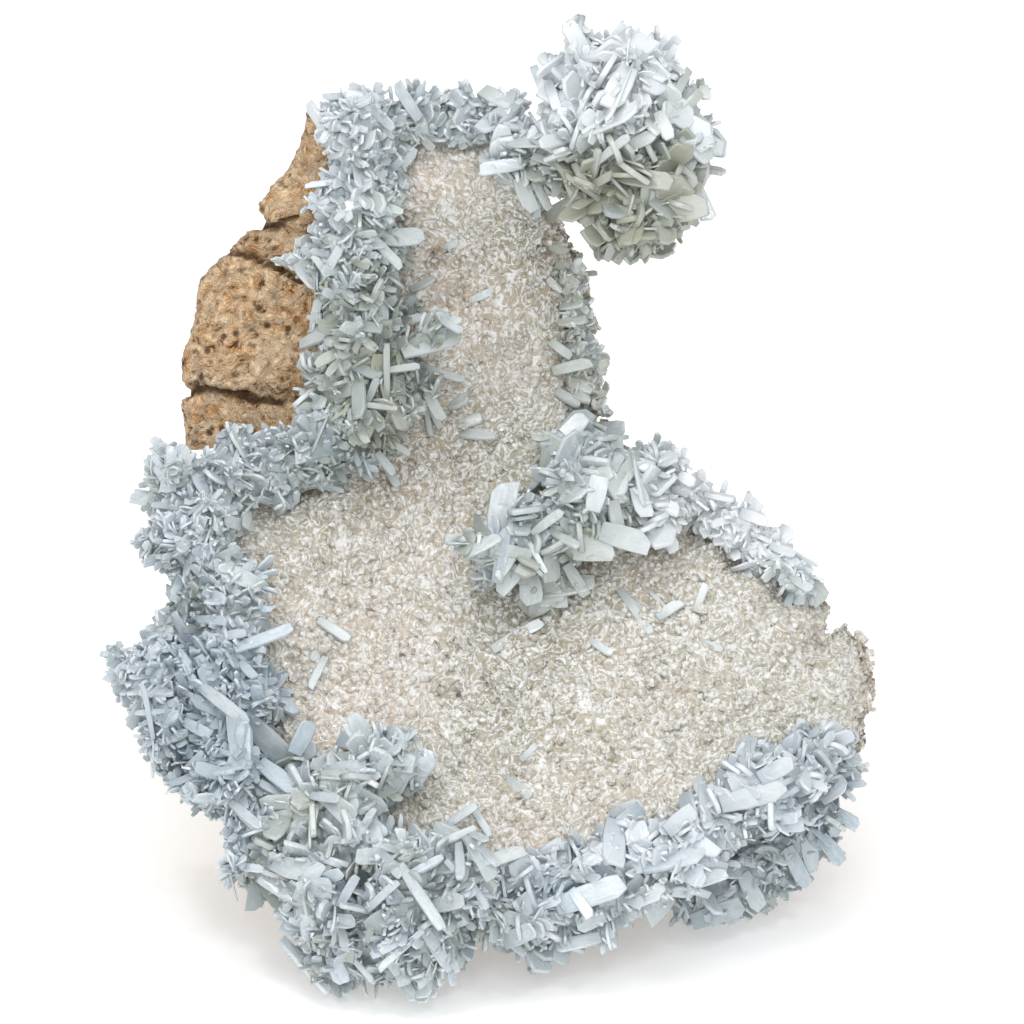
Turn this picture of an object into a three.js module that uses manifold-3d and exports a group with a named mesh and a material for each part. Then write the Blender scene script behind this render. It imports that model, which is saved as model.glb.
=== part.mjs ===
// Blue barite crystal cluster on a brown limestone matrix, with a druse of small pale calcite crystals.
//
// The limestone stands on a flat sawn foot and rises like an armchair: a broad shelf comes forward
// and a neck stands up behind it. The druse lines the hollow that faces the viewer. Tabular barite
// blades crowd the rims of the hollow, a rosette in its middle and a knob that overhangs at the top.
//
// Everything is drawn in the display frame, in millimetres: u runs right, v runs up the leaning face
// and w comes out of the face. The frame leans back by LEAN, and its origin is the middle of the
// foot, on the surface the specimen stands on.

import * as THREE from "three";
import { mergeVertices } from "three/addons/utils/BufferGeometryUtils.js";
import Module from "manifold-3d";

const wasm = await Module();
wasm.setup();

const LEAN = THREE.MathUtils.degToRad(65); // from the floor up to the display face
const GAP = 0.3; // left between two nodes that meet
const CRUST = 4; // thickness of the druse on the limestone
const REACH = { left: -90, right: 92, low: -30, high: 190, back: -110, front: 110 };

// Barite blades: the ranges of a crystal's length, breadth and thickness, and how far each leans aside
const BLADE = { length: [8, 13], breadth: [4, 8], thickness: [1.8, 2.8], lean: 1.7 };

// A repeatable stream of numbers from 0 to 1, so that the same crystals grow on every run.
function randomStream(seed) {
  let state = seed >>> 0;
  return () => {
    state = (state + 0x6d2b79f5) >>> 0;
    let t = Math.imul(state ^ (state >>> 15), state | 1);
    t ^= t + Math.imul(t ^ (t >>> 7), t | 61);
    return ((t ^ (t >>> 14)) >>> 0) / 4294967296;
  };
}

// A closed geometry as a manifold solid, with its shared vertices merged.
function solidOf(geometry) {
  const bare = geometry.clone();
  bare.deleteAttribute("normal");
  bare.deleteAttribute("uv");
  const merged = mergeVertices(bare, 1e-4);
  return new wasm.Manifold(
    new wasm.Mesh({
      numProp: 3,
      vertProperties: merged.attributes.position.array,
      triVerts: new Uint32Array(merged.index.array),
    }),
  );
}

// The largest body of a solid as a geometry: slivers that a cut leaves are dropped.
function geometryOf(solid) {
  const bodies = solid.decompose().sort((a, b) => b.volume() - a.volume());
  const mesh = bodies[0].getMesh();
  return new THREE.BufferGeometry()
    .setAttribute("position", new THREE.BufferAttribute(mesh.vertProperties, mesh.numProp))
    .setIndex(new THREE.BufferAttribute(mesh.triVerts, 1));
}

const joined = (solids) => solids.reduce((all, next) => all.add(next));

// Broad waves and small ones, from -1 to 1, for the unevenness of broken rock.
function ripple(u, v, w) {
  const broad = Math.sin(u * 0.21 + v * 0.13 + 1.3) * Math.sin(v * 0.17 - w * 0.23 + 0.4);
  const small = Math.sin(u * 0.53 - w * 0.47 + 2.1) * Math.sin(v * 0.61 + w * 0.35);
  return 0.65 * broad + 0.35 * small;
}

// A value drawn once for each place, so that the faces which meet there agree on it.
function drawnByPlace(draw) {
  const drawn = new Map();
  return (...place) => {
    const key = place.map((part) => Math.round(part * 1e3)).join();
    if (!drawn.has(key)) drawn.set(key, draw());
    return drawn.get(key);
  };
}

// An uneven lump: a squashed icosahedral ball whose corners stand out by up to `points` millimetres.
const LUMP_ROUGHNESS = 0.12;
const LUMP_WAVES = 11; // waves of unevenness round a lump

function lump({ at, radii, detail = 1, points = 0 }, grow = 0) {
  const ball = new THREE.IcosahedronGeometry(1, detail).rotateX(at[0]).rotateY(at[1]);
  const random = randomStream(Math.round(at[0] * 7 + at[1]));
  const standing = drawnByPlace(() => points * random());
  const place = ball.attributes.position;
  for (let i = 0; i < place.count; i++) {
    const [x, y, z] = [place.getX(i), place.getY(i), place.getZ(i)];
    const waves = ripple(x * LUMP_WAVES + at[0], y * LUMP_WAVES + at[1], z * LUMP_WAVES + at[2]);
    const swell = 1 + LUMP_ROUGHNESS * waves;
    const more = standing(x, y, z) + grow;
    place.setXYZ(
      i,
      at[0] + x * (radii[0] * swell + more),
      at[1] + y * (radii[1] * swell + more),
      at[2] + z * (radii[2] * swell + more),
    );
  }
  return solidOf(ball);
}

// All that lies behind (or ahead of) the surface w = height(u, v), on a grid of the given cell whose
// inner corners are scattered by a share of it.
function fieldSolid(height, { cell, scatter = 0 }, side) {
  const [width, tall] = [REACH.right - REACH.left, REACH.high - REACH.low];
  const [across, up] = [Math.round(width / cell), Math.round(tall / cell)];
  const block = new THREE.BoxGeometry(width, tall, 2, across, up, 1);
  const random = randomStream(5);
  const shift = drawnByPlace(() => [random() - 0.5, random() - 0.5]);
  const place = block.attributes.position;
  for (let i = 0; i < place.count; i++) {
    let u = place.getX(i) + (REACH.left + REACH.right) / 2;
    let v = place.getY(i) + (REACH.low + REACH.high) / 2;
    const surface = place.getZ(i) > 0 === (side === "behind");
    if (!surface) {
      place.setXYZ(i, u, v, side === "behind" ? REACH.back : REACH.front);
      continue;
    }
    const inner = u > REACH.left + 1 && u < REACH.right - 1 && v > REACH.low + 1 && v < REACH.high - 1;
    if (inner && scatter > 0) {
      const [du, dv] = shift(u, v);
      u += du * scatter * cell;
      v += dv * scatter * cell;
    }
    place.setXYZ(i, u, v, THREE.MathUtils.clamp(height(u, v), REACH.back + 1, REACH.front - 1));
  }
  return solidOf(block);
}

// A large block whose near face lies at a distance from the origin along a direction.
function blockBeyond(distance, direction) {
  const [width, depth] = [600, 200];
  const waste = new THREE.BoxGeometry(width, width, depth).translate(0, 0, distance + depth / 2);
  const ahead = new THREE.Vector3(...direction).normalize();
  waste.applyQuaternion(new THREE.Quaternion().setFromUnitVectors(new THREE.Vector3(0, 0, 1), ahead));
  return solidOf(waste);
}

// All that lies below the level the specimen stands on, raised by so much.
const DOWN = [0, -Math.sin(LEAN), -Math.cos(LEAN)];
const ground = (raise) => blockBeyond(-raise, DOWN);

// How far a point lies inside a closed outline: negative outside it.
function insideBy(outline, u, v) {
  let nearest = Infinity;
  let inside = false;
  outline.forEach(([au, av], i) => {
    const [bu, bv] = outline[(i + 1) % outline.length];
    const [du, dv] = [bu - au, bv - av];
    const share = THREE.MathUtils.clamp(((u - au) * du + (v - av) * dv) / (du * du + dv * dv), 0, 1);
    nearest = Math.min(nearest, Math.hypot(u - au - share * du, v - av - share * dv));
    if (av > v !== bv > v && u < au + ((v - av) / dv) * du) inside = !inside;
  });
  return inside ? nearest : -nearest;
}

// How far a rounded edge has dropped at a point that lies `inside` by so much, and on outside it.
function edgeDrop(inside, radius, depth) {
  const share = Math.min(inside / radius, 1);
  return share > 0 ? depth * (1 - share) ** 2 : depth * (1 - 2 * share);
}

// The hollow's even surface, from soundings [u, v, w] with smooth ground between them.
const SOUNDINGS = [
  // front lip, from the left
  [-30, -12, 40], [-10, 0, 45], [12, 6, 44], [40, 16, 41], [60, 24, 34], [72, 36, 27], [74, 52, 18],
  // shelf
  [-10, 44, 21], [20, 42, 25], [44, 52, 24], [-44, 68, 18], [-40, 44, 26], [-20, 68, 15], [-4, 68, 9],
  [20, 62, 15], [14, 26, 32], [44, 34, 31], [-22, 28, 32],
  // left side
  [-70, 42, 25], [-66, 76, 22], [-50, 20, 36], [-30, 16, 42],
  // back of the shelf, under the rosette and along the ridge
  [20, 76, 9], [36, 78, 11], [52, 70, 14], [64, 58, 16],
  // neck
  [-8, 86, 5], [-4, 120, 12], [-6, 154, 25], [-32, 120, 12], [-30, 154, 25], [-32, 90, 9], [16, 114, 3],
  [12, 136, 17], [14, 100, 3], [10, 152, 27],
];
const SOUNDING_SPREAD = 9.5;

function hollow(u, v) {
  let sum = 0;
  let weight = 0;
  for (const [su, sv, sw] of SOUNDINGS) {
    const near = Math.exp(-((u - su) ** 2 + (v - sv) ** 2) / (2 * SOUNDING_SPREAD ** 2)) + 1e-9;
    sum += near * sw;
    weight += near;
  }
  return sum / weight;
}

// Limestone: the slab behind the hollow, a foot and back of lumps, and the cracked blocks at the left
const ROCK_GRID = { cell: 13 };
const SLAB_OUTLINE = [
  [-32, 151], [-20, 155], [-8, 153], [2, 154], [10, 151], [11, 140], [13, 126], [15, 112], [17, 98],
  [24, 89], [36, 80], [48, 73], [60, 62], [69, 52], [72, 46], [71, 34], [61, 25], [42, 14], [24, 8],
  [6, 3], [-12, 2], [-26, 5], [-40, 11], [-52, 20], [-62, 31], [-68, 40], [-64, 54], [-62, 64],
  [-64, 76], [-58, 84], [-42, 88], [-38, 102], [-38, 124], [-37, 142],
];
const SLAB = { edge: 13, frontDrop: 9, backRise: 0.75, thickness: 30, lip: 12, lipEnd: 60, rough: 1.6 };
const LUMPS = [
  { at: [-2, 26, 5], radii: [52, 30, 30] }, // over the foot
  { at: [0, 52, -12], radii: [44, 34, 26] }, // behind the shelf
  { at: [36, 44, 2], radii: [32, 26, 22] }, // under the right end of the shelf
  { at: [-38, 40, 8], radii: [28, 28, 22] }, // under the left end
  { at: [-12, 96, -12], radii: [27, 34, 20] }, // back of the neck
];
// Broken faces at the back: the way each one faces, and how far from the origin it lies
const BREAKS = [
  { facing: [0.35, 0.2, -0.9], at: 44 },
  { facing: [-0.45, 0.1, -0.88], at: 41 },
  { facing: [0.75, -0.1, -0.65], at: 44 },
  { facing: [0.6, 0.5, -0.6], at: 73 },
  { facing: [0.1, 0.6, -0.8], at: 87 },
  { facing: [-0.8, -0.3, -0.5], at: 37 },
];
// Each block: its outline [u, v], the place of its face, and how deep it runs
const BLOCKS = [
  {
    outline: [
      [-65, 100.5], [-58, 101.5], [-48, 99.8], [-30, 98], [-30, 86], [-49, 89], [-54, 91], [-64, 90],
    ],
    face: 2,
    depth: 30,
  },
  {
    outline: [
      [-64.5, 103], [-57, 101.8], [-46, 101.6], [-30, 100.5], [-29, 124], [-44, 125.5], [-50, 129.8],
      [-56, 129.6], [-61, 124.5], [-62, 116], [-64.5, 109],
    ],
    face: 4,
    depth: 34,
  },
  {
    outline: [
      [-54.6, 131], [-49, 130.6], [-42, 126.4], [-30, 124.6], [-29, 136], [-45, 135], [-51, 134.8],
    ],
    face: 7,
    depth: 26,
  },
  {
    outline: [
      [-49.5, 138.8], [-46, 135], [-30, 134.8], [-26, 150], [-34, 155.6], [-39, 158.4], [-40.2, 152],
      [-43, 146.5], [-47, 142.5],
    ],
    face: 12,
    depth: 20,
  },
  {
    // the whole rock behind the cracks
    outline: [[-57, 92], [-31, 89], [-30, 134], [-44, 133], [-52, 128], [-57, 122]],
    face: -9,
    depth: 18,
  },
];
const BLOCK = { bevel: 1.3, turn: 0.28, rough: 0.9 };

const slabFront = (u, v) =>
  hollow(u, v) - CRUST - edgeDrop(insideBy(SLAB_OUTLINE, u, v), SLAB.edge, SLAB.frontDrop);

// The slab thins towards its edges and towards the front lip, which overhangs the foot.
const slabBack = (u, v) => {
  const share = THREE.MathUtils.smoothstep(v, 0, SLAB.lipEnd);
  const thick = THREE.MathUtils.lerp(SLAB.lip, SLAB.thickness, share);
  const rise = edgeDrop(insideBy(SLAB_OUTLINE, u, v), SLAB.edge, thick * SLAB.backRise);
  return hollow(u, v) - CRUST - thick + rise + SLAB.rough * ripple(u, v, 0);
};

// One cracked block: its outline carried back from its face, which turns away to the left.
function block({ outline, face, depth }, grow) {
  const sum = outline.reduce(([u, v], [pu, pv]) => [u + pu, v + pv]);
  const [cu, cv] = sum.map((total) => total / outline.length);
  const points = outline.map(([u, v]) => new THREE.Vector2(u - cu, v - cv));
  const geometry = new THREE.ExtrudeGeometry(new THREE.Shape(points), {
    depth: depth - 2 * BLOCK.bevel + 2 * grow,
    bevelThickness: BLOCK.bevel,
    bevelSize: BLOCK.bevel,
    bevelOffset: grow - BLOCK.bevel,
    bevelSegments: 1,
  });
  geometry.translate(cu, cv, face + BLOCK.bevel - depth - grow);
  const place = geometry.attributes.position;
  for (let i = 0; i < place.count; i++) {
    const [u, v, w] = [place.getX(i), place.getY(i), place.getZ(i)];
    place.setZ(i, w + BLOCK.turn * (u - cu) + BLOCK.rough * ripple(u * 1.7, v * 1.7, w));
  }
  return solidOf(geometry);
}

function limestone(grow = 0) {
  const front = fieldSolid((u, v) => slabFront(u, v) + grow, ROCK_GRID, "behind");
  const back = fieldSolid((u, v) => slabBack(u, v) - grow, ROCK_GRID, "ahead");
  const lumps = joined([back, ...LUMPS.map((one) => lump(one, grow))]).intersect(front);
  const waste = BREAKS.map(({ facing, at }) => blockBeyond(at + grow, facing));
  const bulk = lumps.subtract(joined(waste));
  return joined([bulk, ...BLOCKS.map((one) => block(one, grow))]).subtract(ground(0));
}

// Calcite druse: one crust of small crystals over the hollow
const DRUSE_GRID = { cell: 7.9, scatter: 0.45 };
const DRUSE = { edge: 5, drop: 6, relief: 1.2 };
const DRUSE_OUTLINE = [
  [-24, 152], [-8, 154], [2, 154], [9, 149], [11, 138], [13, 128], [15, 116], [16.5, 104], [18, 97],
  [25, 89], [36, 81], [48, 74], [58, 65], [69, 53], [73, 46], [71, 32], [60, 24], [40, 15], [22, 9],
  [6, 5], [-10, 5], [-24, 10], [-37, 20], [-50, 33], [-56, 48], [-59, 64], [-58, 78], [-42, 84],
  [-32, 88], [-30, 98], [-28, 118], [-27, 140],
];
// Single blades lying in the druse: middle [u, v], length, breadth, and turn from u in degrees
const BEDDED_BLADES = [
  [-13, 104, 10, 3, -14], [-8, 119, 8, 2.6, 20], [-36, 49, 9, 3.4, 60], [2, 51, 12, 3.6, 28],
  [30, 56, 8, 3, 35], [14, 66, 9, 3, -55], [-4, 93, 8, 2.6, 4],
];
const BEDDED = { rise: 0.18, lift: 0.4, twist: [0.5, 0.85, 1.2], thickness: 1.8 };

// The crystals stand above and below the even surface, and end beyond the outline in a steep edge.
function druseFront(u, v) {
  const inside = insideBy(DRUSE_OUTLINE, u, v);
  const grain = DRUSE.relief * Math.sin(u * 2.9 + v * 1.7) * Math.sin(v * 2.3 - u * 1.1);
  return hollow(u, v) + grain - edgeDrop(inside, DRUSE.edge, DRUSE.drop) - (inside < 0 ? DRUSE.drop : 0);
}

function druse(grow = 0) {
  const crust = fieldSolid((u, v) => druseFront(u, v) + grow, DRUSE_GRID, "behind");
  const rock = fieldSolid((u, v) => slabFront(u, v) + 2 * (GAP - grow), ROCK_GRID, "behind");
  const bedded = BEDDED_BLADES.map(([u, v, length, breadth, turn], i) => {
    const angle = THREE.MathUtils.degToRad(turn);
    const along = new THREE.Vector3(Math.cos(angle), Math.sin(angle), BEDDED.rise);
    const root = new THREE.Vector3(u, v, hollow(u, v) + BEDDED.lift).addScaledVector(along, -length / 2);
    const twist = BEDDED.twist[i % BEDDED.twist.length];
    return blade({ root, along, twist, length, breadth, thickness: BEDDED.thickness }, grow);
  });
  return joined([crust.subtract(rock), ...bedded]);
}

// One tabular barite crystal: a flat lath with a slanting tip, growing from its root along a direction.
const LATH = { rootShare: 0.8, tipShare: 0.42 };

function blade({ root, along, twist, length, breadth, thickness }, grow = 0) {
  const [half, end] = [breadth / 2 + grow, length + grow];
  const outline = new THREE.Shape([
    new THREE.Vector2(-grow, -half * LATH.rootShare),
    new THREE.Vector2(end - breadth * LATH.tipShare, -half),
    new THREE.Vector2(end, half),
    new THREE.Vector2(-grow, half * LATH.rootShare),
  ]);
  const plate = new THREE.ExtrudeGeometry(outline, { depth: thickness + 2 * grow, bevelEnabled: false });
  plate.translate(0, 0, -thickness / 2 - grow);
  const ahead = along.clone().normalize();
  const helper = Math.abs(ahead.z) < 0.8 ? new THREE.Vector3(0, 0, 1) : new THREE.Vector3(0, 1, 0);
  const side = new THREE.Vector3().crossVectors(helper, ahead).normalize();
  side.applyAxisAngle(ahead, twist);
  const face = new THREE.Vector3().crossVectors(ahead, side);
  plate.applyMatrix4(new THREE.Matrix4().makeBasis(ahead, side, face).setPosition(root));
  return solidOf(plate);
}

// Barite, by node: clusters that have grown together. Each has mounds [u, v, w, radius] that blades
// crowd over, the way it faces, how far round it spreads in degrees, and the plates that stand out.
const CLUSTERS = {
  barite_rim: {
    leftWall: {
      mounds: [
        [-27, 153, 25, 9.5], [-28, 141, 22, 11], [-29, 127, 19, 11.5], [-28, 114, 16, 11],
        [-26, 102, 14, 12.5], [-33, 93, 13, 10], [-16, 157, 26, 6],
      ],
      plates: [{ from: [-22, 108, 22], to: [-9, 115, 24], breadth: 6.5, twist: 0.3 }],
      facing: [0.2, 0.1, 1],
      spread: 105,
      seed: 11,
    },
    leftLedge: {
      mounds: [
        [-64, 85, 21, 7], [-53, 86, 18, 8], [-42, 88, 15, 8.5], [-62, 74, 23, 9], [-56, 62, 24, 9.5],
        [-54, 51, 26, 9.5],
      ],
      facing: [-0.2, 0.1, 1],
      spread: 110,
      seed: 17,
    },
    leftLobe: {
      mounds: [
        [-67, 44, 26, 10.5], [-63, 33, 29, 10.5], [-53, 38, 29, 10.5], [-53, 24, 35, 11],
        [-46, 13, 38, 10.5],
      ],
      facing: [-0.3, -0.1, 1],
      spread: 120,
      seed: 18,
    },
    lowRosette: {
      mounds: [[-33, 22, 41, 9.5], [-23, 26, 39, 9], [-30, 12, 44, 9]],
      facing: [0, 0, 1],
      spread: 110,
      seed: 19,
    },
    toe: {
      mounds: [
        [-37, 2, 43, 10], [-32, -8, 42, 9.5], [-21, -5, 46, 10.5], [-18, 7, 47, 10], [-7, 3, 45, 10],
        [-12, -6, 44, 9.5],
      ],
      facing: [0, -0.5, 1],
      spread: 120,
      seed: 20,
    },
    frontLip: {
      mounds: [
        [4, 0, 41, 10.5], [14, 2, 40, 10.5], [24, 6, 39, 10.5], [33, 11, 38, 10], [42, 17, 36, 9.5],
        [51, 23, 34, 9], [60, 28, 31, 8],
      ],
      facing: [0, -0.1, 1],
      spread: 105,
      seed: 21,
    },
  },
  barite_knob: {
    knob: {
      mounds: [
        [5, 149.5, 31, 7], [12, 148, 34, 9], [23, 150, 42, 14], [26, 140, 42, 12.5], [19, 164, 40, 9.5],
        [28, 160, 41, 11], [33, 149, 41, 9],
      ],
      plates: [
        { from: [20, 150, 52], to: [28, 162, 55], breadth: 11, twist: 0.1 },
        { from: [18, 164, 40], to: [14.4, 176.4, 42], breadth: 6, twist: 0.2 },
      ],
      facing: [0.3, 0, 1],
      spread: 180,
      seed: 13,
    },
    crest: {
      mounds: [[-6, 155.5, 27, 5.5], [1, 156.5, 28, 5.5]],
      facing: [0, 1, 0.5],
      spread: 90,
      seed: 12,
    },
  },
  barite_rosette: {
    rosette: {
      mounds: [[5, 71, 17, 9.5], [17, 78, 16, 11], [28, 82, 14, 10], [16, 88, 10, 8], [9, 63, 15, 6.5]],
      plates: [{ from: [7, 69, 24], to: [-10.5, 72, 25], breadth: 4.5, twist: 0.4 }],
      facing: [-0.1, 0, 1],
      spread: 95,
      seed: 15,
    },
    ridge: {
      mounds: [[38, 80, 11, 6.5], [46, 75, 11, 6], [53, 69.5, 11, 6], [60, 62, 11, 5.5]],
      facing: [0.4, 1, 0.2],
      spread: 85,
      seed: 16,
    },
  },
  barite_underside: {
    underside: {
      mounds: [[64, 28, 22, 8], [60, 16, 19, 9.5], [52, 8, 18, 10], [42, 3, 17, 9.5]],
      facing: [0.3, -0.5, 1],
      spread: 120,
      seed: 22,
    },
  },
  barite_neck_fringe: {
    fringe: {
      mounds: [[13, 124, 4, 5.5], [14, 117, 1.5, 5.5], [15, 110, -0.5, 5.5], [16, 103, -1, 5.5]],
      facing: [1, 0, 0.1],
      spread: 80,
      seed: 14,
    },
  },
};
const BLADES_PER_100 = 0.34; // large blades on 100 mm2 of a mound
const CORE = 0.8; // share of a mound's radius that is solid between its blades
const ROOTED = 0.6; // share of a blade's length that is sunk below the mound's radius
const SHOWS_AT = 0.75; // how far along a blade the point lies that has to be in the open
const GOLDEN_ANGLE = Math.PI * (3 - Math.sqrt(5));

// Directions spread evenly over a cap of the sphere about the way the cluster faces.
function capDirections(count, facing, spread, turn) {
  const pole = new THREE.Quaternion().setFromUnitVectors(new THREE.Vector3(0, 0, 1), facing);
  const lowest = Math.cos(THREE.MathUtils.degToRad(spread));
  return Array.from({ length: count }, (_, i) => {
    const height = THREE.MathUtils.lerp(1, lowest, (i + 0.5) / count);
    const across = Math.sqrt(1 - height * height);
    const angle = i * GOLDEN_ANGLE + turn;
    const level = new THREE.Vector3(across * Math.cos(angle), across * Math.sin(angle), height);
    return level.applyQuaternion(pole);
  });
}

// Whether a point lies in a mound other than its own, or under the druse.
function buried({ x, y, z }, mounds, own) {
  const within = ([u, v, w, radius]) => Math.hypot(x - u, y - v, z - w) < radius;
  const swallowed = mounds.some((mound, i) => i !== own && within(mound));
  return swallowed || (insideBy(DRUSE_OUTLINE, x, y) > 0 && z < hollow(x, y));
}

// The large blades of a cluster that show, each as its root, direction, twist and size.
function largeBlades({ mounds, facing, spread, seed }) {
  const random = randomStream(seed);
  const between = ([low, high]) => low + (high - low) * random();
  const towards = new THREE.Vector3(...facing).normalize();
  const grown = mounds.flatMap(([u, v, w, radius], own) => {
    const cap = 2 * Math.PI * radius ** 2 * (1 - Math.cos(THREE.MathUtils.degToRad(spread)));
    const count = Math.max(1, Math.round((cap / 100) * BLADES_PER_100));
    const turn = random() * 2 * Math.PI;
    return capDirections(count, towards, spread, turn).map((out) => {
      const lean = new THREE.Vector3(random() - 0.5, random() - 0.5, random() - 0.5);
      const length = between(BLADE.length);
      const root = new THREE.Vector3(u, v, w).addScaledVector(out, radius - length * ROOTED);
      return {
        own,
        root,
        along: out.clone().addScaledVector(lean, BLADE.lean).normalize(),
        twist: random() * Math.PI,
        length,
        breadth: between(BLADE.breadth),
        thickness: between(BLADE.thickness),
      };
    });
  });
  return grown.filter(({ own, root, along, length }) => {
    const point = root.clone().addScaledVector(along, length * SHOWS_AT);
    return !buried(point, mounds, own);
  });
}

// The plates that are placed one by one, from a root to a tip.
function plates({ plates: placed = [] }) {
  return placed.map(({ from, to, breadth, twist }) => {
    const root = new THREE.Vector3(...from);
    const along = new THREE.Vector3(...to).sub(root);
    return { root, along, twist, length: along.length(), breadth, thickness: BLADE.thickness[1] };
  });
}

function barite(cluster, grow = 0) {
  const mounds = cluster.mounds.map(([u, v, w, radius]) => {
    const core = radius * CORE;
    const points = 2 * radius * (1 - CORE);
    return lump({ at: [u, v, w], radii: [core, core, core], detail: 0, points }, grow);
  });
  const blades = [...largeBlades(cluster), ...plates(cluster)];
  return joined([...mounds, ...blades.map((one) => blade(one, grow))]);
}

// Colours as they look in even light
const MATERIALS = {
  limestone: new THREE.MeshStandardMaterial({ color: 0xb4936f, roughness: 0.95, metalness: 0 }),
  calcite: new THREE.MeshStandardMaterial({ color: 0xdcd8cc, roughness: 0.25, metalness: 0 }),
  barite: new THREE.MeshStandardMaterial({ color: 0xb9cad2, roughness: 0.3, metalness: 0 }),
};

const specimen = new THREE.Group();
const display = new THREE.Group();
display.rotation.x = LEAN;
specimen.add(display);

function addNode(name, solid, material) {
  const node = new THREE.Mesh(geometryOf(solid), material);
  node.name = name;
  display.add(node);
}

addNode("limestone_matrix", limestone(), MATERIALS.limestone);
addNode("calcite_druse", druse().subtract(limestone(GAP)), MATERIALS.calcite);

// The barite is cut back to stand clear of the rock, the druse and the barite made before it.
let taken = joined([limestone(GAP), druse(GAP), ground(GAP)]);
for (const [name, clusters] of Object.entries(CLUSTERS)) {
  const grown = (grow) => joined(Object.values(clusters).map((one) => barite(one, grow)));
  addNode(name, grown(0).subtract(taken), MATERIALS.barite);
  taken = taken.add(grown(GAP));
}

export default specimen;
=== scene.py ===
"""Blue barite crystal cluster on limestone: the looks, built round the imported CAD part."""

from math import pi, radians, sin

import bpy
import numpy as np
from mathutils import Matrix, Vector, noise
from mathutils.bvhtree import BVHTree


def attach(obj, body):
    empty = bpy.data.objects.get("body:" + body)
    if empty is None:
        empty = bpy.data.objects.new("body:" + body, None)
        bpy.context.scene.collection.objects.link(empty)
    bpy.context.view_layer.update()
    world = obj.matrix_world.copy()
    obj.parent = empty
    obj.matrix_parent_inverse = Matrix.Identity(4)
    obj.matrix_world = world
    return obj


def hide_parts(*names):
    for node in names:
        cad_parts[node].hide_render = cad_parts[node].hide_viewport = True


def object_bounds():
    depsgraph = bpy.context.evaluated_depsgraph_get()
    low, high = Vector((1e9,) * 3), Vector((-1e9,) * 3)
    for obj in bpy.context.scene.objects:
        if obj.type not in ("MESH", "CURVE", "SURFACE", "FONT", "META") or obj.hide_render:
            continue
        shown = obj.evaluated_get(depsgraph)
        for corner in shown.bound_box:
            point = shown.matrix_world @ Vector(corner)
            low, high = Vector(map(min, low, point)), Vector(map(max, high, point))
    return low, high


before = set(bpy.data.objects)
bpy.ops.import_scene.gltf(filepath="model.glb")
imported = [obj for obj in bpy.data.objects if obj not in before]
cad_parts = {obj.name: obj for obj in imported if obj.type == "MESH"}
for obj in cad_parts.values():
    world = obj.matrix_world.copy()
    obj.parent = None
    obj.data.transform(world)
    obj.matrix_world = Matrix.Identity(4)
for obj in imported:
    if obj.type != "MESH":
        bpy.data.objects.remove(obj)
noise.seed_set(7)
cad_box = [list(corner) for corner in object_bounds()]

# Camera: a long lens that looks down on the specimen by 25 degrees, straight from its front.
# The display frame, u right, v up the picture and w towards the viewer, is turned by LEAN to face it.
# A pixel is MM_PER_PIXEL at the depth TRUE_DEPTH. Lengths are millimetres until Blender gets them.
LEAN = radians(65)
DISPLAY = np.array(Matrix.Rotation(LEAN, 3, "X"))
MM_PER_PIXEL = 0.2
PICTURE_WIDTH = 1024 * MM_PER_PIXEL
CENTRE_UV = (2.4, 77.6)
DISTANCE = 2200
TRUE_DEPTH = 20
SENSOR = 36

camera_data = bpy.data.cameras.new("camera")
camera_data.sensor_width = SENSOR
camera_data.lens = SENSOR * (DISTANCE - TRUE_DEPTH) / PICTURE_WIDTH
camera_data.clip_start, camera_data.clip_end = 0.05, 20
camera = bpy.data.objects.new("camera", camera_data)
bpy.context.scene.collection.objects.link(camera)
camera.rotation_euler = (LEAN, 0, 0)
camera.location = DISPLAY @ np.array([*CENTRE_UV, DISTANCE]) / 1000
bpy.context.scene.camera = camera
bpy.context.scene.view_settings.view_transform = "Standard"

# Studio: a white room, two large soft boxes above and in front, a smaller one at the front left, and
# three small lamps that make the facets sparkle. Places and sizes in metres, power in watts.
world = bpy.data.worlds.new("studio")
bpy.context.scene.world = world
world.use_nodes = True
room = world.node_tree.nodes["Background"].inputs
room["Color"].default_value = (1, 1, 1, 1)
room["Strength"].default_value = 0.5
LAMP_AIM = Vector((0, 0, 0.08))


def area_light(name, place, size, watts):
    """A square soft box that faces the specimen."""
    data = bpy.data.lights.new(name, "AREA")
    data.size = size
    data.energy = watts
    lamp = bpy.data.objects.new(name, data)
    bpy.context.scene.collection.objects.link(lamp)
    lamp.location = place
    lamp.rotation_euler = (LAMP_AIM - Vector(place)).to_track_quat("-Z", "Y").to_euler()


area_light("overhead", (-0.1, -0.2, 1.3), 0.9, 5)
area_light("front", (0.0, -1.5, 0.9), 0.8, 7)
area_light("front_left", (-1.0, -1.0, 1.1), 0.25, 2.0)
area_light("spark_right", (0.7, -0.7, 1.3), 0.12, 1.8)
area_light("spark_left", (-0.5, -0.3, 1.5), 0.12, 1.8)
area_light("spark_front", (0.25, -1.1, 1.2), 0.12, 1.6)

# Floor: a plain white sheet, large enough to fill the picture. It glows a little, as if lit from below.


def new_material(name, values):
    """A material with these values in its shader: the material, the shader, and a maker and a linker
    of nodes."""
    material = bpy.data.materials.new(name)
    material.use_nodes = True
    tree = material.node_tree
    shader = tree.nodes["Principled BSDF"]
    for key, value in values.items():
        shader.inputs[key].default_value = value

    def node(kind, inputs=None, **settings):
        made = tree.nodes.new(kind)
        for key, value in settings.items():
            setattr(made, key, value)
        for key, value in (inputs or {}).items():
            if isinstance(value, bpy.types.NodeSocket):
                tree.links.new(value, made.inputs[key])
            else:
                made.inputs[key].default_value = value
        return made

    return material, shader, node, tree.links.new


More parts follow.
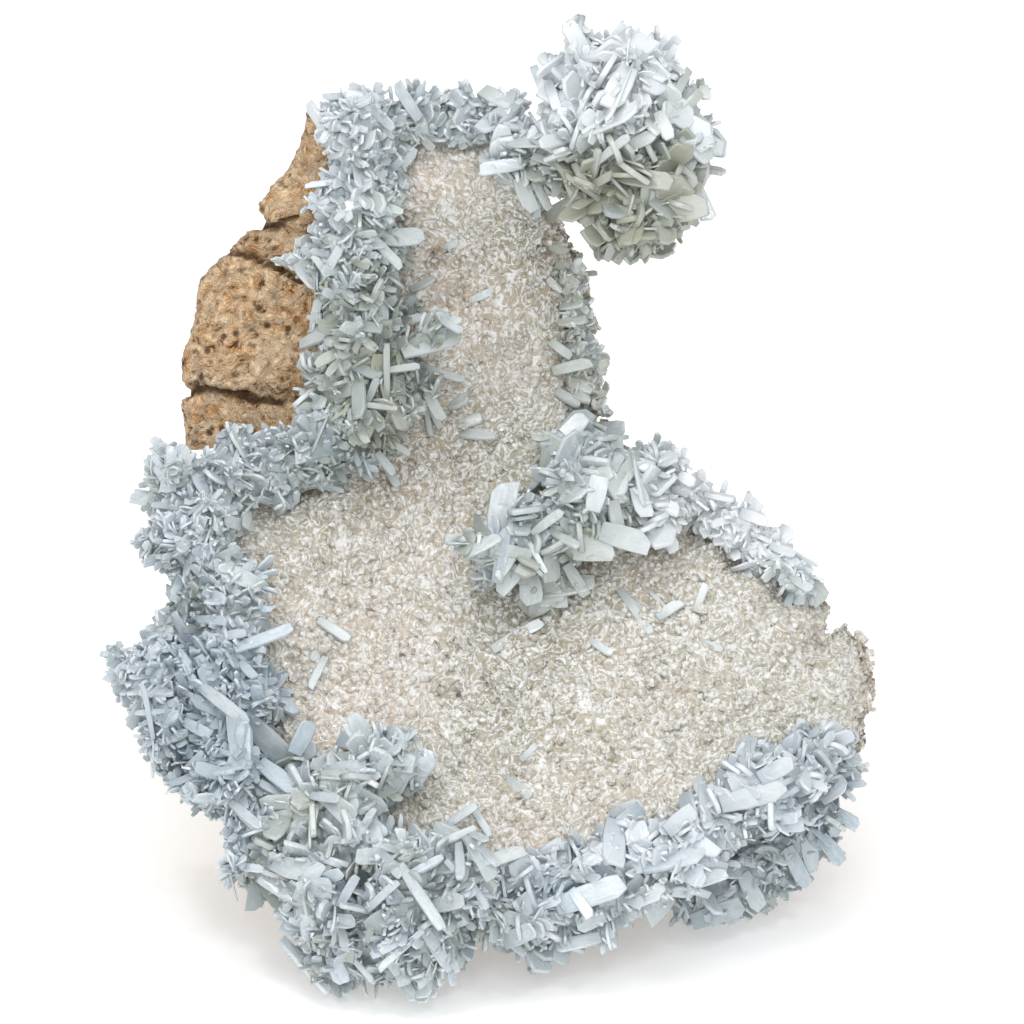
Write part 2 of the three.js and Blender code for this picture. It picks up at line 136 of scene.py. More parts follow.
bpy.ops.mesh.primitive_plane_add(size=12, location=(0, 0, 0))
floor = bpy.context.object
floor.name = "floor"
paper, *_ = new_material("paper", {
    "Base Color": (0.97, 0.97, 0.97, 1), "Roughness": 0.9, "Specular IOR Level": 0.1,
    "Emission Color": (1, 1, 1, 1), "Emission Strength": 0.28,
})
floor.data.materials.append(paper)

# Limestone matrix: the brown, porous rock that the crystals grew on, broken into cracked blocks. It is
# the CAD solid's surface as an even net, worn inwards between lumps and wormy ridges, in pits and along
# cracks, and coloured by the same patterns: painted highlight on ridges, painted shade in pits, cracks and
# pores.
ROCK_VOXEL = 1.08
CRACK_HALF_WIDTH = 0.7
DEEPEST_WEAR = 3.4
FOOT_LAYER_METRES = 0.0006


def to_display(world_points):
    return (np.asarray(world_points) * 1000) @ DISPLAY


def to_world(display_points):
    return (np.asarray(display_points) @ DISPLAY.T) / 1000


def net_of(node, voxel, smooth):
    """A CAD node's surface as an even net of quads, softened: points in display millimetres, and faces."""
    copy = bpy.data.objects.new("net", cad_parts[node].data.copy())
    bpy.context.scene.collection.objects.link(copy)
    remesh = copy.modifiers.new("remesh", "REMESH")
    remesh.mode = "VOXEL"
    remesh.voxel_size = voxel / 1000
    soften = copy.modifiers.new("soften", "SMOOTH")
    soften.factor = 0.5
    soften.iterations = smooth
    evaluated = copy.evaluated_get(bpy.context.evaluated_depsgraph_get())
    mesh = evaluated.to_mesh()
    points = np.empty(len(mesh.vertices) * 3)
    mesh.vertices.foreach_get("co", points)
    faces = np.empty(len(mesh.loops), int)
    mesh.loops.foreach_get("vertex_index", faces)
    evaluated.to_mesh_clear()
    bpy.data.objects.remove(copy)
    points, faces = to_display(points.reshape(-1, 3)), faces.reshape(-1, 4)
    # points in order of place, and faces in order of their points, so that every run is the same
    order = np.lexsort(np.round(points, 2).T)
    rank = np.empty(len(order), int)
    rank[order] = np.arange(len(order))
    faces = rank[faces]
    turns = (np.arange(4) + faces.argmin(axis=1)[:, None]) % 4
    faces = np.take_along_axis(faces, turns, axis=1)
    return points[order], faces[np.lexsort(faces.T[::-1])]


def face_normals(points, faces):
    """Each quad's outward normal and area."""
    a, b, c, d = (points[faces[:, k]] for k in range(4))
    normal = np.cross(c - a, d - b) / 2
    area = np.linalg.norm(normal, axis=1)
    return normal / np.maximum(area, 1e-12)[:, None], area


def point_normals(points, faces):
    """Each point's normal: the mean of its faces', by area."""
    normal, area = face_normals(points, faces)
    total = np.zeros_like(points)
    for k in range(faces.shape[1]):
        np.add.at(total, faces[:, k], normal * area[:, None])
    return total / np.maximum(np.linalg.norm(total, axis=1), 1e-12)[:, None]


def tree_of(*nodes):
    """A search tree over the surfaces of CAD nodes, in display millimetres."""
    points, faces = [], []
    for node in nodes:
        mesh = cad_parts[node].data
        faces += [[index + len(points) for index in face.vertices] for face in mesh.polygons]
        points += to_display([vertex.co for vertex in mesh.vertices]).tolist()
    return BVHTree.FromPolygons(points, faces)


def outside(tree, points, depth):
    """Whether each point lies outside closed surfaces, or no deeper in them than so much."""
    ray = Vector((0.13, 0.21, 0.97)).normalized()

    def free(point):
        crossings, hit = 0, tree.ray_cast(Vector(point), ray)[0]
        while hit is not None:
            crossings += 1
            hit = tree.ray_cast(hit + 0.002 * ray, ray)[0]
        return crossings % 2 == 0 or tree.find_nearest(Vector(point))[3] < depth

    return np.array([free(point) for point in points], bool)


def open_faces(points, faces, solids, reach, depth):
    """The faces that still lie in the open a little way out, or no deeper than so much."""
    normal, _ = face_normals(points, faces)
    return faces[outside(solids, points[faces].mean(axis=1) + reach * normal, depth)]


def noise_at(points, size, offset=0.0):
    """Smooth noise from -1 to 1 whose lumps are about `size` millimetres across."""
    places = points / size + offset
    return np.array([noise.noise(Vector(p)) for p in places])


def add_piece(name, points, faces, material, cad_node, shade, normals=None, inner=None, smooth=True):
    """A mesh from display millimetres, riding on the root, that stands for the CAD node named."""
    mesh = bpy.data.meshes.new(name)
    mesh.from_pydata(to_world(points), [], [tuple(face) for face in faces])
    mesh.polygons.foreach_set("use_smooth", np.full(len(mesh.polygons), smooth))
    layer = mesh.attributes.new("shade", "FLOAT_COLOR", "POINT")
    layer.data.foreach_set("color", np.ascontiguousarray(shade, np.float32).ravel())
    if inner is not None:
        layer = mesh.attributes.new("inner", "FLOAT_VECTOR", "POINT")
        layer.data.foreach_set("vector", np.ascontiguousarray(inner, np.float32).ravel())
    mesh.materials.append(material)
    if normals is not None:
        mesh.normals_split_custom_set_from_vertices(normals @ DISPLAY.T)
    piece = bpy.data.objects.new(name, mesh)
    bpy.context.scene.collection.objects.link(piece)
    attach(piece, "root")
    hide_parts(cad_node)


def ramp(node, value, stops):
    """A colour ramp over (position, colour) stops."""
    made = node("ShaderNodeValToRGB", {"Fac": value})
    elements = made.color_ramp.elements
    while len(elements) < len(stops):
        elements.new(0.5)
    for element, (position, colour) in zip(elements, stops):
        element.position = position
        element.color = (*colour, 1)
    return made.outputs["Color"]


# The mix node's sockets when it mixes colours
MIX_FACTOR, MIX_ONE, MIX_OTHER, MIX_RESULT = 0, 6, 7, 2


def mix(node, factor, one, other, blend="MIX"):
    """Two colours mixed by a factor."""
    made = node("ShaderNodeMix", data_type="RGBA", blend_type=blend)
    for index, value in ((MIX_FACTOR, factor), (MIX_ONE, one), (MIX_OTHER, other)):
        if isinstance(value, bpy.types.NodeSocket):
            made.id_data.links.new(value, made.inputs[index])
        elif isinstance(value, tuple):
            made.inputs[index].default_value = (*value, 1)
        else:
            made.inputs[index].default_value = value
    return made.outputs[MIX_RESULT]


def ranged(node, value, source, target):
    """A value brought from one range to another, and held inside it."""
    ends = {"From Min": source[0], "From Max": source[1], "To Min": target[0], "To Max": target[1]}
    return node("ShaderNodeMapRange", {"Value": value, **ends}).outputs["Result"]


def shade_of(node):
    """The looks that a mesh carries: a socket each for red, green, blue and alpha of its shade."""
    layer = node("ShaderNodeVertexColor", layer_name="shade")
    parts = node("ShaderNodeSeparateColor", {"Color": layer.outputs["Color"]}).outputs
    return parts["Red"], parts["Green"], parts["Blue"], layer.outputs["Alpha"]


# Cracks between the blocks, each as points (u, v) along it
CRACKS = [
    [(-66, 101.6), (-59, 102.0), (-52, 101.0), (-44, 99.6)],
    [(-57, 130.4), (-50, 129.2), (-45, 127.0), (-40, 124.0)],
    [(-52, 136.8), (-49, 135.8), (-45, 134.4), (-41, 136.6)],
]


def crack_distance(points):
    """How far each point lies, seen from the front, from the nearest crack."""
    nearest = np.full(len(points), np.inf)
    for line in CRACKS:
        for start, end in zip(np.array(line)[:-1], np.array(line)[1:]):
            run = end - start
            share = np.clip((points[:, :2] - start) @ run / (run @ run), 0, 1)
            gap = points[:, :2] - start - share[:, None] * run
            nearest = np.minimum(nearest, np.hypot(gap[:, 0], gap[:, 1]))
    return nearest


# Each cell of the foam draws a lot from 0 to 1 out of its place, and only lots above PIT_LOT make a pit
LOT_WAVE = (12.9898, 78.233, 37.719)
LOT_STRETCH = 43758.5453
PIT_LOT = 0.45


def pits_at(points, size):
    """Round pits in some of the cells of a foam: 1 at their middle, 0 outside them."""
    depth = []
    for p in points / size:
        (near, *_), (middle, *_) = noise.voronoi(Vector(p))
        lot = (sin(sum(at * wave for at, wave in zip(middle, LOT_WAVE))) * LOT_STRETCH) % 1
        depth.append(max(0.0, 1 - near / (0.05 + 0.3 * lot)) if lot > PIT_LOT else 0.0)
    return np.array(depth)


rock_points, rock_faces = net_of("limestone_matrix", ROCK_VOXEL, smooth=4)
rock_normals = point_normals(rock_points, rock_faces)
COVERING = [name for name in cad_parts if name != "limestone_matrix"]
rock_faces = open_faces(rock_points, rock_faces, tree_of(*COVERING), reach=2.0, depth=1.0)
lumps = noise_at(rock_points, 9) * 0.5 + noise_at(rock_points, 4.2, 7) * 0.5
curl = np.stack([noise_at(rock_points, 3.0, k) for k in (11, 17, 23)], axis=1)
worms = 1 - 2.4 * np.abs(noise_at(rock_points + 2.4 * curl, 1.9, 3))
pits = pits_at(rock_points + 0.8 * curl, 2.2) * (noise_at(rock_points, 12, 5) > -0.1)
cracks = np.clip(1 - crack_distance(rock_points) / CRACK_HALF_WIDTH, 0, 1)
wear = 0.9 - 1.1 * lumps - 0.7 * worms + 0.9 * pits + 1.6 * cracks
on_foot = to_world(rock_points)[:, 2] < FOOT_LAYER_METRES
wear[on_foot] = 0
rock_points = rock_points - rock_normals * np.clip(wear, 0, DEEPEST_WEAR)[:, None]
# red in the shade marks lumps, green the ridges, which get a painted highlight, and blue the pits and cracks,
# which get painted shade
rock_shade = np.ones((len(rock_points), 4))
rock_shade[:, 0] = np.clip(0.5 + 0.5 * lumps, 0, 1)
rock_shade[:, 1] = np.clip(0.5 + 0.5 * worms, 0, 1)
rock_shade[:, 2] = np.clip(pits * 1.4 + cracks, 0, 1)

limestone, shader, node, link = new_material("limestone", {"Roughness": 0.85, "Specular IOR Level": 0.3})
place = node("ShaderNodeTexCoord").outputs["Object"]
_, ridge_highlight, pit_shade, _ = shade_of(node)
patches = node("ShaderNodeTexNoise", {"Vector": place, "Scale": 75.0, "Detail": 5.0, "Roughness": 0.62})
grain = node("ShaderNodeTexNoise", {
    "Vector": place, "Scale": 300.0, "Detail": 3.0, "Roughness": 0.55, "Distortion": 2.6,
})
tan = ramp(node, patches.outputs["Fac"], [
    (0.30, (0.52, 0.36, 0.23)), (0.42, (0.84, 0.64, 0.46)), (0.52, (0.88, 0.64, 0.40)),
    (0.60, (0.88, 0.54, 0.27)), (0.68, (0.92, 0.74, 0.56)), (0.78, (0.62, 0.48, 0.37)),
])
# fine curly bands of light and dark: partly the stone's own grain, partly painted highlight and shade on
# relief finer than the mesh
fine = ramp(node, grain.outputs["Fac"], [
    (0.34, (0.18, 0.11, 0.06)), (0.42, (0.66, 0.55, 0.44)), (0.47, (1.0, 0.97, 0.92)),
    (0.505, (0.30, 0.20, 0.12)), (0.54, (1.0, 0.96, 0.90)), (0.60, (0.50, 0.38, 0.27)),
    (0.66, (1.0, 0.98, 0.94)),
])
stone = mix(node, 1.0, tan, fine, "MULTIPLY")
# painted highlight on the wormy ridges, and painted shade in the pits and cracks
stone = mix(node, ranged(node, ridge_highlight, (0.5, 0.95), (0, 0.6)), stone, (0.94, 0.75, 0.52))
stone = mix(node, ranged(node, pit_shade, (0.02, 0.5), (0, 0.9)), stone, (0.13, 0.07, 0.03))
# painted shade: dark dots for the shade in small pores, in patches
pores = node("ShaderNodeTexVoronoi", {"Vector": place, "Scale": 330.0})
where = node("ShaderNodeTexNoise", {"Vector": place, "Scale": 110.0, "Detail": 2.0})
near_pore = ranged(node, pores.outputs["Distance"], (0.34, 0.16), (0, 0.95))
patchy = ranged(node, where.outputs["Fac"], (0.45, 0.53), (0, 1))
pore_shade = node("ShaderNodeMath", {0: near_pore, 1: patchy}, operation="MULTIPLY")
stone = mix(node, pore_shade.outputs["Value"], stone, (0.12, 0.065, 0.03))
link(stone, shader.inputs["Base Color"])
bump = node("ShaderNodeBump", {"Height": grain.outputs["Fac"], "Strength": 1.0, "Distance": 0.003})
link(bump.outputs["Normal"], shader.inputs["Normal"])
add_piece("limestone_rock", rock_points, rock_faces, limestone, "limestone_matrix", rock_shade)

# Calcite druse: a crust of small clear crystals that grew over the limestone and lines the hollow.
# The bed is the CAD crust's surface broken into facets, beige where light sinks into it, and thousands
# of short six-sided crystals stand on it. Painted shade darkens patches, and painted highlights light the
# corners.
BED_DEPTH = 0.2
rock_tree = tree_of("limestone_matrix")
barite_tree = tree_of(*[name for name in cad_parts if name.startswith("barite")])
bed_points, bed_faces = net_of("calcite_druse", voxel=1.1, smooth=7)
bed_normals = point_normals(bed_points, bed_faces)


def facets_at(points, size, steep):
    """Heights that break a surface into small tilted facets, each about `size` millimetres across."""
    heights = []
    for p in points / size:
        _, (middle, *_) = noise.voronoi(Vector(p))
        tilt = noise.noise_vector(middle * 5.3)
        heights.append(tilt.dot(Vector(p) - middle))
    return steep * size * np.array(heights)


bed_points = bed_points - bed_normals * (BED_DEPTH - facets_at(bed_points, size=1.9, steep=1.0))[:, None]

crust_tree = tree_of("limestone_matrix", "calcite_druse")


def scattered(points, faces, count, random):
    """Places spread evenly over a net of quads, each with its normal."""
    normal, area = face_normals(points, faces)
    total = np.cumsum(area)
    steps = (np.arange(count) + random.random(count)) / count * total[-1]
    chosen = np.minimum(np.searchsorted(total, steps), len(faces) - 1)
    a, b, c, d = (points[faces[chosen, k]] for k in range(4))
    s, t = random.random((count, 1)), random.random((count, 1))
    return (a * (1 - s) + b * s) * (1 - t) + (d * (1 - s) + c * s) * t, normal[chosen]


def unit(vectors):
    return vectors / np.maximum(np.linalg.norm(vectors, axis=-1, keepdims=True), 1e-12)


def twisted(along, across, third, twist):
    """Three axes for each direction: the direction, and the other two turned round it by the twist."""
    c, s = np.cos(twist)[:, None], np.sin(twist)[:, None]
    return np.stack([along, across * c + third * s, third * c - across * s], axis=1)


def frames_along(directions, twist):
    """Axes that run along each direction, with one across it turned by the twist."""
    helper = np.where(np.abs(directions[:, 2:]) < 0.8, [[0.0, 0.0, 1.0]], [[0.0, 1.0, 0.0]])
    across = unit(np.cross(helper, directions))
    return twisted(directions, across, np.cross(directions, across), twist)


def placed(local, axes, roots):
    """Copies of a shape, each in its own axes at its own root: one row of points per copy."""
    return np.einsum("nvk,nkd->nvd", local, axes) + roots[:, None, :]


box_low, box_high = (np.array(corner) for corner in cad_box)
BOX_MARGIN_METRES = 0.0002


def kept_in_box(copies):
    """The same copies, each moved just far enough to lie inside the CAD model's box."""
    world_points = to_world(copies)
    over = np.maximum(world_points - (box_high - BOX_MARGIN_METRES), 0).max(axis=1)
    under = np.maximum((box_low + BOX_MARGIN_METRES) - world_points, 0).max(axis=1)
    return to_display(world_points - (over - under)[:, None, :])


def repeated(faces, copies, points_each):
    """A shape's faces for every copy."""
    return [[index + n * points_each for index in face] for n in range(copies) for face in faces]


def bare_faces(points, faces, under_barite):
    """The crust's faces that neither the rock covers, nor the barite by more than so much."""
    faces = open_faces(points, faces, rock_tree, reach=1.5, depth=0.8)
    return open_faces(points, faces, barite_tree, reach=1.0, depth=under_barite)


bed_points = kept_in_box(bed_points[:, None])[:, 0]
bed_faces = bare_faces(bed_points, bed_faces, under_barite=3.0)

# Red in the shade marks a crystal's upper corners, which get a painted highlight, and green the light that
# falls there: painted shade in patches and at the roots, with some tone that differs at random
GLASSY = {"Roughness": 0.05, "IOR": 1.66, "Transmission Weight": 0.2}
calcite, shader, node, link = new_material("calcite", GLASSY)
corner_highlight, lit, _, _ = shade_of(node)
place = node("ShaderNodeTexCoord").outputs["Object"]
warmth = node("ShaderNodeTexNoise", {"Vector": place, "Scale": 30.0, "Detail": 3.0})
clear = ramp(node, warmth.outputs["Fac"], [
    (0.36, (0.63, 0.59, 0.48)), (0.5, (0.74, 0.67, 0.56)), (0.64, (0.76, 0.65, 0.53)),
])
shaded = ramp(node, warmth.outputs["Fac"], [
    (0.36, (0.38, 0.35, 0.24)), (0.5, (0.47, 0.42, 0.30)), (0.64, (0.56, 0.45, 0.34)),
])
# lit and shaded copies of the calcite, mixed by the painted light in green
clear = mix(node, lit, shaded, clear)
# painted highlight on the crystals' upper corners
clear = mix(node, ranged(node, corner_highlight, (0.5, 1), (0, 0.3)), clear, (0.93, 0.90, 0.83))
curls = node("ShaderNodeTexNoise", {"Vector": place, "Scale": 270.0, "Detail": 1.5, "Distortion": 2.4})
# thin curly white lines painted over the calcite as highlights; the same noise also bumps the surface
highlight_lines = ramp(node, curls.outputs["Fac"], [
    (0.42, (0, 0, 0)), (0.48, (0.95, 0.95, 0.95)), (0.52, (0.95, 0.95, 0.95)), (0.58, (0, 0, 0)),
])
link(mix(node, highlight_lines, clear, (1.0, 1.0, 0.99)), shader.inputs["Base Color"])
bump = node("ShaderNodeBump", {"Height": curls.outputs["Fac"], "Strength": 0.7, "Distance": 0.0012})
link(bump.outputs["Normal"], shader.inputs["Normal"])

# A calcite crystal: a six-sided column under three rhombs that meet in its tip.
CRYSTAL_POINTS = 13
TIP, CORNERS, ROOT = 0, slice(1, 7), slice(7, 13)
RHOMBS = [(0, 1, 2, 3), (0, 3, 4, 5), (0, 5, 6, 1)]
HEXAGON = np.arange(6) * pi / 3
COLUMN_FACES = [[1 + k, 7 + k, 7 + (k + 1) % 6, 1 + (k + 1) % 6] for k in range(6)]
CRYSTAL_FACES = [list(rhomb) for rhomb in RHOMBS] + COLUMN_FACES


def crystals(roots, up, radius, random):
    """Calcite crystals on their roots, as rows of points, each pointing up a direction of its own."""
    count = len(roots)
    tall = 0.25 + 0.5 * random.random(count)
    local = np.zeros((count, CRYSTAL_POINTS, 3))
    uneven = radius[:, None] * (1 + 0.4 * (random.random((count, 6)) - 0.5))
    narrow = 0.6 + 0.4 * random.random((count, 1))
    step = np.where(np.arange(6) % 2 == 0, 0.0, -1.0) * (0.25 + 0.35 * random.random((count, 1)))
    for ring, height in ((CORNERS, radius[:, None] * (0.35 + step)), (ROOT, -1.1)):
        local[:, ring, 0] = height
        local[:, ring, 1] = uneven * np.cos(HEXAGON)
        local[:, ring, 2] = uneven * np.sin(HEXAGON) * narrow
    local[:, TIP, 0] = radius * (0.35 + tall)
    return kept_in_box(placed(local, frames_along(up, random.random(count) * pi), roots))


# Soft patches of the druse, each as (u, v, radius, share): how much painted shade, a darker browner beige, it
# gets there
DUSKS = [
    (7, 131, 8, 1.3), (13, 116, 6, 0.7), (8, 152, 6, 0.3), (-18, 98, 12, 0.45), (-16, 116, 8, 0.4),
    (6, 62, 11, 0.4), (-22, 84, 11, 0.45), (10, 38, 16, 0.45), (30, 66, 10, 0.3), (-42, 74, 9, 0.4),
    (-2, 88, 9, 0.3),
]


def spot_at(points, u, v, radius):
    """A soft round spot, seen from the front: 1 at its middle and 0 well outside it."""
    return np.exp(-((points[:, 0] - u) ** 2 + (points[:, 1] - v) ** 2) / (2 * radius**2))


def dusk_at(points):
    """From 0 in the open druse to 1 where it is darkest."""
    share = np.zeros(len(points))
    for u, v, radius, amount in DUSKS:
        share += amount * spot_at(points, u, v, radius)
    return np.clip(share, 0, 1)


def crystal_sites(spacing):
    """Even places over the open side of the crust, each with its normal."""
    points, faces = net_of("calcite_druse", spacing, smooth=6)
    faces = bare_faces(points, faces, under_barite=2.5)
    return points[faces].mean(axis=1), face_normals(points, faces)[0]


def add_crystals(name, sites, scatter, radii, lift, crisp, random):
    """A piece of crystals, one near each site, with crisp facets or worn soft."""
    places, normals = sites
    count = len(places)
    roots = places + scatter * (random.random((count, 3)) - 0.5)
    roots = roots + normals * (lift * (random.random((count, 1)) - 0.5) - 0.5)
    up = unit(normals + 0.9 * unit(random.normal(size=(count, 3))) * random.random((count, 1)) ** 0.5)
    radius = radii[0] + (radii[1] - radii[0]) * random.random(count) ** 1.5
    copies = crystals(roots, up, radius, random)
    shade = np.zeros((count, CRYSTAL_POINTS, 4))
    shade[:, TIP, 0] = 1.0
    shade[:, CORNERS, 0] = 1.0
    # green: a tone that differs at random, less in the patches of painted shade, and a little less at the
    # roots as painted shade between crystals
    shade[:, :, 1] = np.clip(0.92 + 0.12 * random.normal(size=(count, 1)) - dusk_at(places)[:, None], 0, 1)
    shade[:, ROOT, 1] *= 0.95
    shade[:, :, 3] = 1.0
    faces = repeated(CRYSTAL_FACES, count, CRYSTAL_POINTS)
    add_piece(
        name, copies.reshape(-1, 3), faces, calcite, "calcite_druse", shade.reshape(-1, 4),
        smooth=not crisp,
    )


# Crystals side by side in two pieces, above and below NECK_FROM, and crisp grains strewn over them
NECK_FROM = 66
random = np.random.default_rng(31)
places, normals = crystal_sites(spacing=1.27)
for name, chosen in (("neck", places[:, 1] > NECK_FROM), ("shelf", places[:, 1] <= NECK_FROM)):
    sites = (places[chosen], normals[chosen])
    name = "calcite_crystals_" + name
    add_crystals(name, sites, scatter=0.9, radii=(0.55, 1.15), lift=0.5, crisp=False, random=random)
sites = crystal_sites(spacing=3.1)
add_crystals("calcite_grains", sites, scatter=2.6, radii=(0.6, 1.1), lift=0.9, crisp=True, random=random)
shade = np.ones((len(bed_points), 4))
shade[:, 0] = 0.0
# green: painted shade in the patches
shade[:, 1] = np.clip(0.9 - dusk_at(bed_points), 0, 1)
add_piece("calcite_bed", bed_points, bed_faces, calcite, "calcite_druse", shade)

# Barite: pale blue tabular crystals, grown crowded over the mounds round the hollow. They root in a
# core that is the CAD solid's surface drawn in. Sprays fan out, laths lie across one another, and the
# plates that stand out are placed one by one.

# Red in the shade marks a blade's edges, painted whiter as frost and highlight; green its olive tone; blue
# its light, as painted light and shade; and alpha its frost, with painted highlight
barite, shader, node, link = new_material("barite", {"IOR": 1.63, "Transmission Weight": 0.12})
edge, olive_tone, lit, frost_and_sheen = shade_of(node)
inner = node("ShaderNodeAttribute", attribute_name="inner").outputs["Vector"]
drawn_out = node("ShaderNodeVectorMath", {0: inner, 1: (0.22, 1.0, 1.0)}, operation="MULTIPLY")
veils = node("ShaderNodeTexNoise", {
    "Vector": inner, "Scale": 0.55, "Detail": 4.0, "Roughness": 0.62, "Distortion": 0.9,
})
streaks = node("ShaderNodeTexNoise", {
    "Vector": drawn_out.outputs["Vector"], "Scale": 1.5, "Detail": 3.0, "Roughness": 0.6,
})
veil, streak = veils.outputs["Fac"], streaks.outputs["Fac"]
body = mix(node, olive_tone, (0.49, 0.595, 0.675), (0.585, 0.625, 0.53))
body = mix(node, ranged(node, veil, (0.42, 0.68), (0, 0.5)), body, (0.84, 0.90, 0.93))
body = mix(node, ranged(node, streak, (0.42, 0.7), (0, 0.4)), body, (0.92, 0.95, 0.97))
# alpha: frost, with painted highlight where blades face up and in the white zones
body = mix(node, frost_and_sheen, body, (0.92, 0.95, 0.98))
# the edges painted whiter, as frost and as a highlight
body = mix(node, ranged(node, edge, (0.4, 1), (0, 0.25)), body, (0.95, 0.98, 1.0))
# the colour of painted shade, in hollows, at roots and where blades turn down; blue mixes it in
painted_shade_colour = mix(node, olive_tone, (0.32, 0.41, 0.48), (0.38, 0.39, 0.30))
link(mix(node, ranged(node, lit, (0, 1), (0.08, 1)), painted_shade_colour, body), shader.inputs["Base Color"])
link(ranged(node, veil, (0.3, 0.7), (0.06, 0.2)), shader.inputs["Roughness"])
bump = node("ShaderNodeBump", {"Height": streak, "Strength": 0.3, "Distance": 0.0003})
link(bump.outputs["Normal"], shader.inputs["Normal"])

# Outlines of a blade, root to tip and back: across in breadths, and ahead in lengths. Rings of corners:
# height in half thicknesses, and whether it is the rim. Lift: how far the shading stands up from the
# blade's edge towards its flat side, for a ring inside the bevel and for a rim.
LARGE = {
    "across": [-0.4, -0.5, -0.5, -0.25, 0.25, 0.5, 0.5, 0.4],
    "ahead": [0, 0.4, 0.9, 1, 1, 0.9, 0.4, 0],
    "rings": [(1, False), (0.6, True), (-0.6, True), (-1, False)],
    "lift": [1.0, 0.25],
}
SMALL = {
    "across": [-0.4, -0.5, -0.22, 0.22, 0.5, 0.4],
    "ahead": [0, 0.82, 1, 1, 0.82, 0],
    "rings": [(1, True), (-1, True)],
    "lift": [1.0, 1.0],
}


# Each blade has its veils and streaks from a place of its own, up to this many millimetres away
OWN_PLACES = 60


def blades(shape, roots, axes, size, random):
    """Tabular crystals with crisp bevelled edges and a slanting tip: points, bends, reach, own places."""
    length, breadth, thickness = size
    count, corners = len(roots), len(shape["across"])
    across = np.tile(shape["across"], (count, 1))
    ahead = np.tile(shape["ahead"], (count, 1)) * length[:, None]
    tip = [corners // 2 - 1, corners // 2]
    shoulders = [corners // 2 - 2, corners // 2 + 1]
    slant = (random.random(count) - 0.5) * 0.9 * (random.random(count) < 0.6)
    ahead = ahead + across * (slant * breadth)[:, None] * (np.array(shape["ahead"]) > 0.6)
    across[:, tip] += (random.random((count, 1)) - 0.5) * 0.35
    cut = random.random((count, 2)) ** 1.2
    ahead[:, shoulders] -= np.minimum(breadth[:, None] * 0.4, length[:, None] * 0.3) * cut
    across[:, tip] *= 1 + 0.6 * (1 - cut)
    across = np.clip(across + 0.05 * (random.random((count, corners)) - 0.5), -0.5, 0.5) * breadth[:, None]
    bevel = np.minimum(thickness * 0.2, breadth * 0.1)
    middle = length[:, None] * 0.5
    inner_ahead = middle + (ahead - middle) * (1 - 2 * bevel / length)[:, None]
    inner_across = across * (1 - 2 * bevel / breadth)[:, None]
    flat = np.stack([ahead, across], axis=2)
    edge = np.roll(flat, -1, axis=1) - np.roll(flat, 1, axis=1)
    out = unit(np.stack([edge[:, :, 1], -edge[:, :, 0]], axis=2))
    rings, bends = [], []
    for level, is_rim in shape["rings"]:
        x, y = (ahead, across) if is_rim else (inner_ahead, inner_across)
        z = np.repeat((level * thickness / 2)[:, None], corners, axis=1)
        rings.append(np.stack([x, y, z], axis=2))
        lift = np.full((count, corners, 1), float(np.sign(level)) * shape["lift"][is_rim])
        bends.append(unit(np.concatenate([out * (1.0 if is_rim else 0.05), lift], axis=2)))
    if shape is LARGE:
        for side in (1, -1):
            centre = np.stack([length * 0.55, np.zeros(count), side * thickness / 2], axis=1)
            rings.append(centre[:, None, :])
            bends.append(np.tile([[[0.0, 0.0, float(side)]]], (count, 1, 1)))
    local = np.concatenate(rings, axis=1)
    bow = (random.random(count) - 0.5) * 0.12
    local[:, :, 2] += bow[:, None] * local[:, :, 0] * (local[:, :, 0] / length[:, None] - 1)
    points = kept_in_box(placed(local, axes, roots))
    turned = placed(np.concatenate(bends, axis=1), axes, np.zeros((count, 3)))
    inner = local + OWN_PLACES * random.random((count, 1, 3))
    return points, turned, np.clip(local[:, :, 0] / length[:, None], 0, 1), inner


def band(first, second, corners):
    """The quads between two rings of corners."""
    return [
        [first + k, second + k, second + (k + 1) % corners, first + (k + 1) % corners] for k in range(corners)
    ]


# The flat sides of a large blade are fans round a point in their middle. Edge: how white each point is
# painted, as frost and highlight on the rims.
TOP_MIDDLE, BACK_MIDDLE = 32, 33
LARGE["faces"] = (
    band(0, 8, 8) + band(8, 16, 8) + band(16, 24, 8)
    + [[k, (k + 1) % 8, TOP_MIDDLE] for k in range(8)]
    + [[24 + (k + 1) % 8, 24 + k, BACK_MIDDLE] for k in range(8)]
)
LARGE["edge"] = [0.35] * 8 + [1.0] * 16 + [0.35] * 8 + [0.0] * 2
SMALL["faces"] = band(0, 6, 6) + [[0, 1, 2, 3, 4, 5], [11, 10, 9, 8, 7, 6]]
SMALL["edge"] = [0.8] * 12


def add_blades(name, node_name, shape, roots, axes, size, tone, frost_and_highlight, lit, random):
    """One piece of many blades. Tone runs from blue to olive; frost from clear to white, as frost and painted
    highlight; and lit, painted light and shade, from 0 where a blade lies in a hollow or turns down to 1 in
    the open."""
    points, bends, reach, inner = blades(shape, roots, axes, size, random)
    count, each = points.shape[:2]
    shade = np.ones((count, each, 4))
    shade[:, :, 0] = np.array(shape["edge"])
    shade[:, :, 1] = tone[:, None]
    # blue: the painted light, and painted shade darkening each blade towards its root
    shade[:, :, 2] = np.clip(0.35 + reach * 1.2, 0, 1) * lit[:, None]
    shade[:, :, 3] = np.clip(frost_and_highlight, 0, 1)[:, None]
    add_piece(
        name, points.reshape(-1, 3), repeated(shape["faces"], count, each), barite, node_name,
        shade.reshape(-1, 4), normals=bends.reshape(-1, 3) if shape is LARGE else None,
        inner=inner.reshape(-1, 3), smooth=shape is LARGE,
    )


